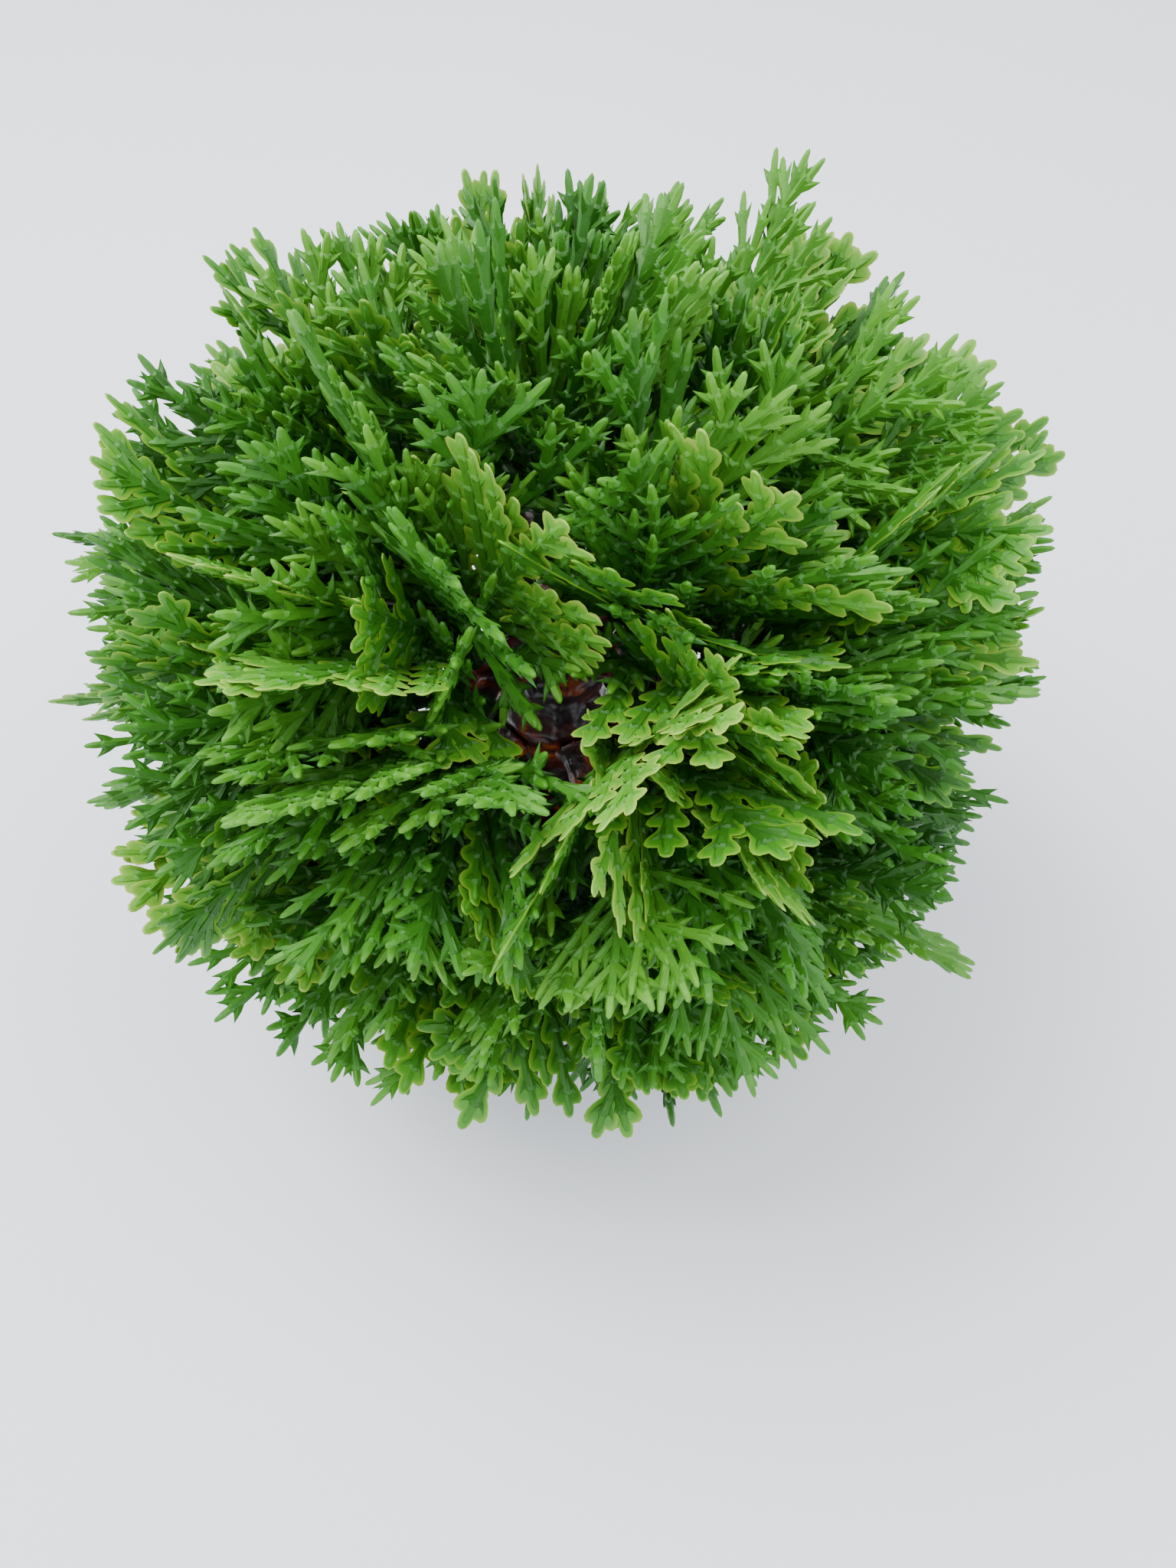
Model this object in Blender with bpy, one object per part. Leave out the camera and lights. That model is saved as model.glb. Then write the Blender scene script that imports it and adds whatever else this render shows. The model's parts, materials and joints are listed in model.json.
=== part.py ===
"""Artificial tabletop tree: a ball-shaped crown of moulded evergreen sprays on a potted trunk.

Metres, +Z up, -Y the front. The origin is the middle of the base pad's underside. The trunk stands on
the weighted filling of the pot, over a steel core wire. Two whorls of five branches and a leader plug
into sockets in the trunk, and each branch carries foliage picks that are pushed onto its pegs.
"""

import itertools
import math

import bmesh
import bpy
from mathutils import Matrix, Vector

# Clearance kept between pieces that touch or fit into each other.
FIT = 0.0003

# Base pad and pot.
PAD_RADIUS = 0.031
PAD_THICKNESS = 0.0016
POT_HEIGHT = 0.050
POT_FOOT_RADIUS = 0.033
POT_RIM_RADIUS = 0.042
POT_WALL = 0.0022
POT_FLOOR = 0.003
RIM_BAND_HEIGHT = 0.009
RIM_BAND_PROUD = 0.0018
POT_SIDES = 32

# What fills the pot. Depths are measured down from the rim.
FILLER_TOP_DEPTH = 0.013
MOSS_TOP_DEPTH = 0.004
MOSS_DOME = 0.002
MOSS_HOLE_SLACK = 0.0012

# Trunk and its core wire.
TRUNK_RADIUS = 0.0078
ROOT_FLARE_RADIUS = 0.0145
ROOT_FLARE_HEIGHT = 0.006
KNOT_RADIUS = 0.0122
KNOT_HALF_HEIGHT = 0.0078
TRUNK_TOP_RADIUS = 0.0068
TRUNK_BOW = 0.003
BARK_RIDGES = 5
BARK_RIDGE_DEPTH = 0.0005
TRUNK_SIDES = 16
TRUNK_RINGS = 18
WIRE_RADIUS = 0.0016
WIRE_TOP_BELOW_WHORL = 0.010

# Whorls of branches. Slopes are above the horizon. The lowest sprays fall outwards over the pot's rim,
# so the wider the rim is, the higher above it the lower whorl stands.
WHORL_BRANCHES = 5
WHORL_RISE_PER_RIM_RADIUS = 0.8
WHORL_SPACING = 0.015
TRUNK_TOP_ABOVE_WHORL = 0.0125
LOWER_BRANCH_SLOPE = math.radians(-21)
UPPER_BRANCH_SLOPE = math.radians(34)
LOWER_WHORL_TURN = math.radians(18)

# One branch: a peg in the trunk, a collar against it, a stub, and a knob where it forks.
SEAT_SINK = 0.0007
BRANCH_PEG_RADIUS = 0.0017
SOCKET_WALL = 0.0006
COLLAR_RADIUS = 0.0043
COLLAR_LENGTH = 0.0025
STUB_RADIUS = 0.0035
FORK_DISTANCE = 0.0125
KNOB_RADIUS = 0.0044
PRONG_RADIUS = 0.0024
PRONG_LENGTH = 0.012
PICK_PEG_RADIUS = 0.0014
PICK_PEG_LENGTH = 0.006
SPOTFACE_DEPTH = 0.012

# Crown: the surface that the tips of the sprays reach.
CROWN_CENTRE_ABOVE_WHORL = 0.018
CROWN_RADIUS = 0.104
CROWN_HALF_HEIGHT = 0.095
PICK_SPREAD = math.radians(18)
UPPER_SIDE_SLOPE = math.radians(21)
UPPER_TOP_SLOPE = math.radians(56)
LOWER_SIDE_SLOPE = math.radians(-10)
LOWER_UNDER_SLOPE = math.radians(-35)
STRAIGHT_UP = math.radians(90)

# One foliage pick: a hub with a socket, and flat sprays that leave it in a fan.
HUB_LENGTH = 0.011
HUB_RADIUS = 0.0031
HUB_TIP_RADIUS = 0.0025
SPRAY_START = 0.0085
SIDE_SPRAYS = 4
SIDE_SPRAY_SHARE = 0.94
SIDE_SPRAY_OFFSET = 0.0013
FAN_SHARE = 0.555
FAN_TURN_STEP = math.tau / 7
SPRAY_PINWHEEL = math.radians(24)
SPRAY_THICKNESS = 0.0018
SPRAY_ROOT_HALF_WIDTH = 0.0013
SPRAY_SHOULDER = 0.35
SPRAY_SHOULDER_WIDTH_SHARE = 0.85
SPRAY_WIDEST = 0.7
SPRAY_HALF_WIDTH = 0.010
SPRAY_TIP_HALF_WIDTH = 0.0016
SPRAY_SAG = 0.007

ROUND_SIDES = 8
KNOB_RINGS = 5
SHARP_ANGLE = math.radians(35)


def clear_scene():
    for obj in list(bpy.data.objects):
        bpy.data.objects.remove(obj)


def material(name, colour, roughness, metallic=0.0):
    made = bpy.data.materials.new(name)
    made.use_nodes = True
    shader = made.node_tree.nodes["Principled BSDF"]
    shader.inputs["Base Color"].default_value = (*colour, 1.0)
    shader.inputs["Roughness"].default_value = roughness
    shader.inputs["Metallic"].default_value = metallic
    return made


def mesh_from(name, points, faces):
    """A closed mesh with its faces turned outwards."""
    shape = bmesh.new()
    corners = [shape.verts.new(point) for point in points]
    for face in faces:
        shape.faces.new([corners[index] for index in face])
    bmesh.ops.recalc_face_normals(shape, faces=shape.faces)
    mesh = bpy.data.meshes.new(name)
    shape.to_mesh(mesh)
    shape.free()
    return mesh


def lofted(name, rings):
    """A closed solid through rings of points, each ring with as many points as the next."""
    sides = len(rings[0])
    points = [point for ring in rings for point in ring]
    faces = [list(range(sides)), list(range(len(points) - sides, len(points)))]
    for row in range(len(rings) - 1):
        for side in range(sides):
            here = row * sides + side
            beside = row * sides + (side + 1) % sides
            faces.append([here, beside, beside + sides, here + sides])
    return mesh_from(name, points, faces)


def circle(radius, height, sides):
    turns = [math.tau * side / sides for side in range(sides)]
    return [Vector((radius * math.cos(turn), radius * math.sin(turn), height)) for turn in turns]


def turned(name, profile, sides=ROUND_SIDES):
    """A solid turned about +Z from (radius, height) pairs; its first and last rings are flat ends."""
    return lofted(name, [circle(radius, height, sides) for radius, height in profile])


def moved(mesh, frame):
    mesh.transform(frame)
    return mesh


def boolean(operation, base, others):
    """The base mesh joined with the other meshes (UNION) or cut by them (DIFFERENCE)."""
    operands = bpy.data.collections.new("operands")
    bpy.context.scene.collection.children.link(operands)
    for mesh in others:
        operands.objects.link(bpy.data.objects.new("operand", mesh))
    body = bpy.data.objects.new("body", base)
    bpy.context.scene.collection.objects.link(body)
    step = body.modifiers.new(operation.lower(), "BOOLEAN")
    step.operation = operation
    step.solver = "EXACT"
    step.operand_type = "COLLECTION"
    step.collection = operands
    graph = bpy.context.evaluated_depsgraph_get()
    result = bpy.data.meshes.new_from_object(body.evaluated_get(graph))
    for helper in [body, *operands.objects]:
        bpy.data.objects.remove(helper)
    bpy.data.collections.remove(operands)
    return result


def add_piece(name, mesh, finish, parent=None, frame=None):
    """The named object of one sub-part, placed by its frame under its parent."""
    mesh.name = name
    mesh.materials.clear()
    mesh.materials.append(finish)
    mesh.shade_smooth()
    mesh.set_sharp_from_angle(angle=SHARP_ANGLE)
    piece = bpy.data.objects.new(name, mesh)
    bpy.context.scene.collection.objects.link(piece)
    piece.parent = parent
    if frame is not None:
        piece.matrix_basis = frame
    return piece


def aimed(place, direction):
    """A frame at a place, with its +Z along a direction."""
    return Matrix.Translation(place) @ direction.to_track_quat("Z", "Y").to_matrix().to_4x4()


def heading(turn, slope):
    """A unit vector from its turn about +Z, counted from the front, and its slope above the horizon."""
    level = math.cos(slope)
    return Vector((level * math.sin(turn), -level * math.cos(turn), math.sin(slope)))


# Heights that follow from the stack of pad, pot and filling.
POT_BOTTOM = PAD_THICKNESS + FIT
POT_RIM = POT_BOTTOM + POT_HEIGHT
FILLER_TOP = POT_RIM - FILLER_TOP_DEPTH
MOSS_TOP = POT_RIM - MOSS_TOP_DEPTH
TRUNK_BOTTOM = FILLER_TOP + FIT
LOWER_WHORL_HEIGHT = POT_RIM + WHORL_RISE_PER_RIM_RADIUS * POT_RIM_RADIUS
UPPER_WHORL_HEIGHT = LOWER_WHORL_HEIGHT + WHORL_SPACING
CROWN_CENTRE_HEIGHT = LOWER_WHORL_HEIGHT + CROWN_CENTRE_ABOVE_WHORL
TRUNK_TOP = UPPER_WHORL_HEIGHT + TRUNK_TOP_ABOVE_WHORL
WIRE_TOP = LOWER_WHORL_HEIGHT - WIRE_TOP_BELOW_WHORL
FILLER_BOTTOM = POT_BOTTOM + POT_FLOOR + FIT

# The collars seat a little inside the knots' surface. The pegs reach in until the wall between
# neighbouring sockets of a whorl is as thin as it may be.
BRANCH_SEAT = KNOT_RADIUS - SEAT_SINK
SOCKET_SPAN = BRANCH_PEG_RADIUS + FIT + SOCKET_WALL / 2
SOCKET_CORE = SOCKET_SPAN / (math.cos(UPPER_BRANCH_SLOPE) * math.sin(math.pi / WHORL_BRANCHES))
BRANCH_PEG_LENGTH = BRANCH_SEAT - FIT - SOCKET_CORE


def pot_outer_radius(height):
    rise = (height - POT_BOTTOM) / POT_HEIGHT
    return POT_FOOT_RADIUS + (POT_RIM_RADIUS - POT_FOOT_RADIUS) * rise


def pot_inner_radius(height):
    return pot_outer_radius(height) - POT_WALL


def base_pad():
    profile = [(PAD_RADIUS, 0.0), (PAD_RADIUS, PAD_THICKNESS)]
    return turned("base_pad", profile, POT_SIDES)


def pot():
    """A tapered pot with a thicker band round its rim."""
    floor_top = POT_BOTTOM + POT_FLOOR
    band_bottom = POT_RIM - RIM_BAND_HEIGHT
    band_radius = POT_RIM_RADIUS + RIM_BAND_PROUD
    profile = [
        (POT_FOOT_RADIUS, POT_BOTTOM),
        (pot_outer_radius(band_bottom), band_bottom),
        (band_radius, band_bottom + RIM_BAND_PROUD),
        (band_radius, POT_RIM),
        (pot_inner_radius(POT_RIM), POT_RIM),
        (pot_inner_radius(floor_top), floor_top),
    ]
    return turned("pot", profile, POT_SIDES)


def weighted_filler():
    """The casting that weights the pot, with a bore for the core wire."""
    profile = [
        (pot_inner_radius(FILLER_BOTTOM) - FIT, FILLER_BOTTOM),
        (pot_inner_radius(FILLER_TOP) - FIT, FILLER_TOP),
    ]
    bore = [(WIRE_RADIUS + FIT, FILLER_BOTTOM - POT_FLOOR), (WIRE_RADIUS + FIT, FILLER_TOP + POT_FLOOR)]
    return boolean("DIFFERENCE", turned("filler", profile, POT_SIDES), [turned("bore", bore)])


def moss_layer():
    """A low dome of moss on the filling, open in the middle where the root flare stands."""
    bottom = FILLER_TOP + FIT
    hole = ROOT_FLARE_RADIUS + BARK_RIDGE_DEPTH + MOSS_HOLE_SLACK
    edge = pot_inner_radius(bottom) - FIT
    middle = (hole + edge) / 2
    dome = (middle, MOSS_TOP + MOSS_DOME)
    profile = [(hole, bottom), (edge, bottom), (edge, MOSS_TOP), dome, (hole, MOSS_TOP)]
    rings = [circle(radius, height, POT_SIDES) for radius, height in profile]
    points = [point for ring in rings for point in ring]
    faces = []
    for row in range(len(rings)):
        for side in range(POT_SIDES):
            beside = (side + 1) % POT_SIDES
            here = row * POT_SIDES
            above = ((row + 1) % len(rings)) * POT_SIDES
            faces.append([here + side, here + beside, above + beside, above + side])
    return mesh_from("moss", points, faces)


def trunk_middle(height):
    """The trunk's middle line, which bows a little to one side between its ends."""
    rise = (height - TRUNK_BOTTOM) / (TRUNK_TOP - TRUNK_BOTTOM)
    return Vector((-TRUNK_BOW * math.sin(math.pi * rise), 0.0, height))


def swelling(height, centre, half_height):
    return math.exp(-(((height - centre) / half_height) ** 2))


def trunk_radius(height):
    flare = (ROOT_FLARE_RADIUS - TRUNK_RADIUS) * math.exp((TRUNK_BOTTOM - height) / ROOT_FLARE_HEIGHT)
    knots = max(
        swelling(height, LOWER_WHORL_HEIGHT, KNOT_HALF_HEIGHT),
        swelling(height, UPPER_WHORL_HEIGHT, KNOT_HALF_HEIGHT),
    )
    stem = TRUNK_RADIUS + (KNOT_RADIUS - TRUNK_RADIUS) * knots + flare
    top = swelling(height, TRUNK_TOP, KNOT_HALF_HEIGHT / 2)
    return stem + (TRUNK_TOP_RADIUS - stem) * top


def trunk_ring(height):
    """One ring of the bark: its ridges lean round the trunk as they climb."""
    ring = []
    for side in range(TRUNK_SIDES):
        turn = math.tau * side / TRUNK_SIDES
        lean = BARK_RIDGES * turn + height / ROOT_FLARE_HEIGHT
        radius = trunk_radius(height) + BARK_RIDGE_DEPTH * math.sin(lean)
        ring.append(trunk_middle(height) + Vector((radius * math.cos(turn), radius * math.sin(turn), 0.0)))
    return ring


def socket_cutter(frame):
    """The blind hole for a branch's peg, with a flat seat for its collar, at a branch's frame."""
    peg = BRANCH_PEG_RADIUS + FIT
    collar = COLLAR_RADIUS + FIT
    profile = [(peg, -BRANCH_PEG_LENGTH - FIT), (peg, 0.0), (collar, 0.0), (collar, SPOTFACE_DEPTH)]
    return moved(turned("socket", profile), frame)


def trunk(branch_frames):
    rise = (TRUNK_TOP - TRUNK_BOTTOM) / (TRUNK_RINGS - 1)
    rings = [trunk_ring(TRUNK_BOTTOM + row * rise) for row in range(TRUNK_RINGS)]
    bore = [(WIRE_RADIUS + FIT, TRUNK_BOTTOM - POT_FLOOR), (WIRE_RADIUS + FIT, WIRE_TOP + FIT)]
    cutters = [turned("bore", bore)] + [socket_cutter(frame) for frame in branch_frames]
    return boolean("DIFFERENCE", lofted("trunk", rings), cutters)


def trunk_core_wire():
    return turned("wire", [(WIRE_RADIUS, FILLER_BOTTOM), (WIRE_RADIUS, WIRE_TOP)])


def branch_frame(whorl_height, turn, slope):
    """A branch's frame: its origin is where its collar seats, and its +Z is the axis of its peg."""
    outward = heading(turn, slope)
    return aimed(trunk_middle(whorl_height) + BRANCH_SEAT * outward, outward)


def leader_frame():
    return aimed(trunk_middle(TRUNK_TOP), Vector((0.0, 0.0, 1.0)))


def crown_point(turn, slope):
    """The point of the crown's surface that a pick's middle spray reaches."""
    way = heading(turn, slope)
    reach = Vector((CROWN_RADIUS * way.x, CROWN_RADIUS * way.y, CROWN_HALF_HEIGHT * way.z))
    return reach + Vector((0.0, 0.0, CROWN_CENTRE_HEIGHT))


def pick_frames(frame, targets):
    """For each pick, its frame at the shoulder of its prong, and how far off its target is."""
    fork = frame @ Vector((0.0, 0.0, FORK_DISTANCE))
    found = []
    for target in targets:
        way = (target - fork).normalized()
        place = fork + (PRONG_LENGTH + FIT) * way
        found.append((aimed(place, way), (target - place).length))
    return found


def prong(pick_in_branch):
    """A prong of the fork, from inside the knob out to its shoulder and peg, in its pick's frame."""
    profile = [
        (PRONG_RADIUS, -PRONG_LENGTH),
        (PRONG_RADIUS, -FIT),
        (PICK_PEG_RADIUS, -FIT),
        (PICK_PEG_RADIUS, PICK_PEG_LENGTH - FIT),
    ]
    return moved(turned("prong", profile, ROUND_SIDES), pick_in_branch)


def knob():
    """The rounded swelling at the fork."""
    steps = [math.pi * (ring + 1) / (KNOB_RINGS + 1) for ring in range(KNOB_RINGS)]
    profile = [(KNOB_RADIUS * math.sin(step), FORK_DISTANCE - KNOB_RADIUS * math.cos(step)) for step in steps]
    return turned("knob", profile)


def branch(picks_in_branch):
    """One moulded branch in its own frame, joined from its stub, its knob and its prongs."""
    profile = [
        (BRANCH_PEG_RADIUS, -BRANCH_PEG_LENGTH),
        (BRANCH_PEG_RADIUS, FIT),
        (COLLAR_RADIUS, FIT),
        (COLLAR_RADIUS, COLLAR_LENGTH),
        (STUB_RADIUS, COLLAR_LENGTH + COLLAR_RADIUS - STUB_RADIUS),
        (STUB_RADIUS, FORK_DISTANCE),
    ]
    prongs = [prong(pick) for pick in picks_in_branch]
    return boolean("UNION", turned("stub", profile), [knob(), *prongs])


def hub():
    """The socketed stem end that is pushed onto a peg."""
    profile = [(HUB_RADIUS, 0.0), (HUB_RADIUS, HUB_LENGTH / 2), (HUB_TIP_RADIUS, HUB_LENGTH)]
    hole = [(PICK_PEG_RADIUS + FIT, -HUB_LENGTH), (PICK_PEG_RADIUS + FIT, PICK_PEG_LENGTH)]
    return boolean("DIFFERENCE", turned("hub", profile), [turned("hole", hole)])


def spray(start, way, facing, length, sag):
    """One flat spray as a closed plate: narrow at its root, widest past its middle, and sagging."""
    outline = [
        (0.0, SPRAY_ROOT_HALF_WIDTH),
        (SPRAY_SHOULDER, SPRAY_HALF_WIDTH * SPRAY_SHOULDER_WIDTH_SHARE),
        (SPRAY_WIDEST, SPRAY_HALF_WIDTH),
        (1.0, SPRAY_TIP_HALF_WIDTH),
    ]
    across = way.cross(facing).normalized()
    rings = []
    for share, half_width in outline:
        middle = start + way * (length * share) + sag * share**2
        side = across * half_width
        lift = facing * (SPRAY_THICKNESS / 2)
        rings.append([middle - side - lift, middle + side - lift, middle + side + lift, middle - side + lift])
    return lofted("spray", rings)


def narrowest_angle(branches):
    """The smallest angle between the axes of two picks on one branch."""
    angles = []
    for frame, targets in branches.values():
        ways = [pick.col[2].to_3d() for pick, _ in pick_frames(frame, targets.values())]
        angles += [first.angle(second) for first, second in itertools.combinations(ways, 2)]
    return min(angles)


def fan_tilt(room, length):
    """How far side sprays lean out: less where they are wide for their length, or the picks are close."""
    edge = SPRAY_HALF_WIDTH * math.sin(SPRAY_PINWHEEL)
    return FAN_SHARE * room - math.atan(edge / (SPRAY_WIDEST * length))


def foliage_pick(frame, reach, room, number):
    """A hub with one middle spray and a fan of side sprays round it, in the pick's own frame."""
    down = frame.to_3x3().inverted() @ Vector((0.0, 0.0, -1.0))
    ahead = Vector((0.0, 0.0, 1.0))
    sag = down * (SPRAY_SAG * down.cross(ahead).length)
    length = reach - SPRAY_START
    root = ahead * SPRAY_START
    tilt = fan_tilt(room, length)
    start_turn = FAN_TURN_STEP * number
    middle_facing = Vector((math.cos(start_turn), math.sin(start_turn), 0.0))
    sprays = [spray(root, ahead, middle_facing, length, sag)]
    for index in range(SIDE_SPRAYS):
        turn = start_turn + math.tau * (index + 0.5) / SIDE_SPRAYS
        outward = Vector((math.cos(turn), math.sin(turn), 0.0))
        way = ahead * math.cos(tilt) + outward * math.sin(tilt)
        facing = outward * math.cos(tilt) - ahead * math.sin(tilt)
        facing = Matrix.Rotation(SPRAY_PINWHEEL, 3, way) @ facing
        beside = root + outward * SIDE_SPRAY_OFFSET
        sprays.append(spray(beside, way, facing, length * SIDE_SPRAY_SHARE, sag))
    return boolean("UNION", hub(), sprays)


def whorl(height, slope, first_turn, side_slope, middle_slope):
    """The five branches of a whorl, each as its frame and the three points its picks reach."""
    branches = []
    for index in range(WHORL_BRANCHES):
        turn = first_turn + math.tau * index / WHORL_BRANCHES
        targets = {
            "left": crown_point(turn - PICK_SPREAD, side_slope),
            "right": crown_point(turn + PICK_SPREAD, side_slope),
            "middle": crown_point(turn, middle_slope),
        }
        branches.append((branch_frame(height, turn, slope), targets))
    return branches


def add_branch(name, frame, targets, wood, leaf, room, first_number):
    """A branch with its picks, under an empty that stands on the axis of the branch's peg."""
    seat = bpy.data.objects.new(f"{name}_seat", None)
    bpy.context.scene.collection.objects.link(seat)
    seat.matrix_basis = frame
    picks = pick_frames(frame, targets.values())
    local = [frame.inverted() @ pick for pick, _ in picks]
    add_piece(f"{name}_branch", branch(local), wood, seat)
    for offset, (side, (pick, reach)) in enumerate(zip(targets, picks)):
        shape = foliage_pick(pick, reach, room, first_number + offset)
        add_piece(f"{name}_foliage_{side}", shape, leaf, seat, local[offset])


def main():
    clear_scene()
    felt = material("felt", (0.03, 0.03, 0.03), 0.95)
    pot_plastic = material("pot_plastic", (0.018, 0.018, 0.02), 0.45)
    plaster = material("plaster", (0.55, 0.53, 0.49), 0.9)
    moss = material("moss", (0.09, 0.13, 0.03), 0.95)
    bark = material("bark_plastic", (0.12, 0.03, 0.015), 0.3)
    leaf = material("foliage_plastic", (0.08, 0.22, 0.05), 0.45)
    steel = material("core_steel", (0.5, 0.5, 0.5), 0.4, 1.0)

    branches = {"leader": (leader_frame(), {"top": crown_point(0.0, STRAIGHT_UP)})}
    upper_turn = math.pi / WHORL_BRANCHES
    lower_turn = LOWER_WHORL_TURN
    upper = whorl(UPPER_WHORL_HEIGHT, UPPER_BRANCH_SLOPE, upper_turn, UPPER_SIDE_SLOPE, UPPER_TOP_SLOPE)
    lower = whorl(LOWER_WHORL_HEIGHT, LOWER_BRANCH_SLOPE, lower_turn, LOWER_SIDE_SLOPE, LOWER_UNDER_SLOPE)
    branches |= {f"upper_{index + 1}": found for index, found in enumerate(upper)}
    branches |= {f"lower_{index + 1}": found for index, found in enumerate(lower)}

    add_piece("base_pad", base_pad(), felt)
    add_piece("pot", pot(), pot_plastic)
    add_piece("weighted_filler", weighted_filler(), plaster)
    add_piece("moss_layer", moss_layer(), moss)
    add_piece("trunk_core_wire", trunk_core_wire(), steel)
    add_piece("trunk", trunk([frame for frame, _ in branches.values()]), bark)
    room = narrowest_angle(branches)
    number = 0
    for name, (frame, targets) in branches.items():
        add_branch(name, frame, targets, bark, leaf, room, number)
        number += len(targets)


main()
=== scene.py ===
"""Looks of the artificial tabletop tree: moulded evergreen sprays, bark, pot and moss round the CAD frame."""

import json
import math
import random

import bmesh
import bpy
import numpy as np
from mathutils import Matrix, Vector, noise

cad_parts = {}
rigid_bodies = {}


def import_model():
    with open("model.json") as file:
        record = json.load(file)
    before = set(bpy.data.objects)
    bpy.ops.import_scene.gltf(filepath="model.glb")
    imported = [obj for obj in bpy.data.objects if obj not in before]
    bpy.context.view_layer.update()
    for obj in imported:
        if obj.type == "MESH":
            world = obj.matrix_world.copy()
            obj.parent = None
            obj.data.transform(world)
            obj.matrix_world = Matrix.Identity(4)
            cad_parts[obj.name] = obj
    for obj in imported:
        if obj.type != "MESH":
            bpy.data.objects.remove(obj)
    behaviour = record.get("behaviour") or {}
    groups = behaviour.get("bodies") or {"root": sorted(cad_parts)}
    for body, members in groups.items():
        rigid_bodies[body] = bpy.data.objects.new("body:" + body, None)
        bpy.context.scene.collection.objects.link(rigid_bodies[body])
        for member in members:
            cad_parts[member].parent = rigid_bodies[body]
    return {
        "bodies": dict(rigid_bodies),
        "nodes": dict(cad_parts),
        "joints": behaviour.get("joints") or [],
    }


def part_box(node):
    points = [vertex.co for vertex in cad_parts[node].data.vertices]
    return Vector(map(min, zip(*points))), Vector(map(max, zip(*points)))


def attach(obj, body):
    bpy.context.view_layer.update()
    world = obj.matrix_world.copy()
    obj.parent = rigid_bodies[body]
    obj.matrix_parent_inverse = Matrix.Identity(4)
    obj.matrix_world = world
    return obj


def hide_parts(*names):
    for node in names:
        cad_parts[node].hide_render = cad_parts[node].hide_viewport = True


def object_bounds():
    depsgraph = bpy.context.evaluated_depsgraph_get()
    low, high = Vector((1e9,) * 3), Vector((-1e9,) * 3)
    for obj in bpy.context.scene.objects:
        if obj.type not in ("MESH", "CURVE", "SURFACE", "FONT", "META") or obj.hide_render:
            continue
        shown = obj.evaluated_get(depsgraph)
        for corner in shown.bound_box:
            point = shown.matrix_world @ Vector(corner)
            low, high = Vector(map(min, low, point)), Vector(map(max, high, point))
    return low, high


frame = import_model()
CAD_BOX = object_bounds()

MM = 0.001
UP = Vector((0.0, 0.0, 1.0))

# Moulded spray: one joint of a twig is a stretch of stem that flares into two pointed scales, with a small
# scale on each flat. Side twigs leave by turns to each side. What varies has its least and most.
JOINT_LENGTH = 6.0 * MM
JOINT_STRETCH = (0.9, 1.06)
STEM_RADIUS = 1.12 * MM
STEM_THICKNESS = (0.92, 1.1)
STEM_TAPER = 0.985
SIDE_TWIG_WIDTH = 0.95
SIDE_TWIG_SHARE = (0.6, 1.0)
SIDE_TWIG_LEAN = 0.25
SIDE_TWIG_CURL = (0.02, 0.07)
MOST_SIDE_JOINTS = 5
TWIG_ANGLE = math.radians(36)
TWIG_ANGLE_SPREAD = (0.8, 1.2)
TWIG_CHANCES = (0.78, 0.28)
PAIRED_CHANCE = 0.3
TIP_STRETCH = (0.8, 1.05)
FLASHED_SHARE = 0.2
FLASH_STARTS = 0.55
SHARP_ANGLE = math.radians(48)
STEM_SIDES = 5
WEB_HALF_THICKNESS = 0.22

# What stands on a skeleton's point: its solid, and its web of flash if it has one.
JOINT, TIP, HUB = range(3)
NO_WEB, JOINT_WEB, TIP_WEB = range(3)
POINT_VALUES = {
    "along": "FLOAT_VECTOR",
    "across": "FLOAT_VECTOR",
    "size": "FLOAT_VECTOR",
    "kind": "INT",
    "flash": "INT",
    "tone": "FLOAT",
    "youth": "FLOAT",
}

# Pick: a socketed hub, a fan of long sprays, and short sprays that fill the crown's inside. A spray's reach
# is its share of the way to the crown's surface.
HUB_LENGTH = 11 * MM
HUB_RADIUS = 3.0 * MM
HUB_SIDES = 16
SPRAY_ROOT = (0.72, 0.95)
SPRAY_OFF_AXIS = 1.2 * MM
LONG_SPRAYS = 13
LONG_FAN = math.radians(37)
LONG_FAN_SPREAD = (0.9, 1.1)
LONG_REACH = (0.72, 1.1, 1.0)
SHORT_SPRAYS = 7
SHORT_FAN = (math.radians(38), math.radians(66))
SHORT_REACH = (0.4, 0.62)
EDGE_ON_SHARE = 0.15
GOLDEN_TURN = math.pi * (3 - math.sqrt(5))

# How a spray lies: its flat leans outwards from level by a share and rolls at random, and each joint bends
# down and sweeps sideways a little, in radians. Sprays below the crown's middle droop more.
FLAT_LEAN = 0.6
ROLL_SPREAD = 0.55
LEAST_BEND = -0.01
MOST_BEND_ABOVE = 0.02
MOST_BEND_BELOW = 0.035
SWEEP_SPREAD = 0.012
FEWEST_JOINTS = 3

# How green a spray is, from 0 to 1: a tone that differs at random, with painted light that makes it paler
# towards the crown's top and surface, and painted shade that darkens it inside the crown. Twigs also pale
# along their length, and that pallor is weaker inside the crown, as painted shade.
TONE_MIDDLE = 0.45
PAINTED_LIGHT_BY_HEIGHT = 0.25
TONE_SPREAD = 0.17
DARKEST_TONE = 0.05
PAINTED_SHADE_INSIDE = 0.3
PAINTED_SHADE_BY_DEPTH = 0.8
TIP_TONE_GAIN = 1.1
YOUTH_BY_FORK = 0.15
YOUTH_BY_LENGTH = 0.45
TIP_YOUTH = 0.7
HUB_TONE = 0.1

# Crown that the sprays fill, and the gap at its front through which the trunk shows.
CROWN_RADIUS = 104 * MM
CROWN_HALF_HEIGHT = 95 * MM
CROWN_CENTRE = Vector((0.0, 0.0, CAD_BOX[1][2] - CROWN_HALF_HEIGHT))
GAP_FOOT = CROWN_CENTRE - Vector((3.0, 0.0, 32.0)) * MM
GAP_SLOPE = math.radians(51)
GAP_RADIUS = 11.5 * MM
GAP_DEPTH = 72 * MM

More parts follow.
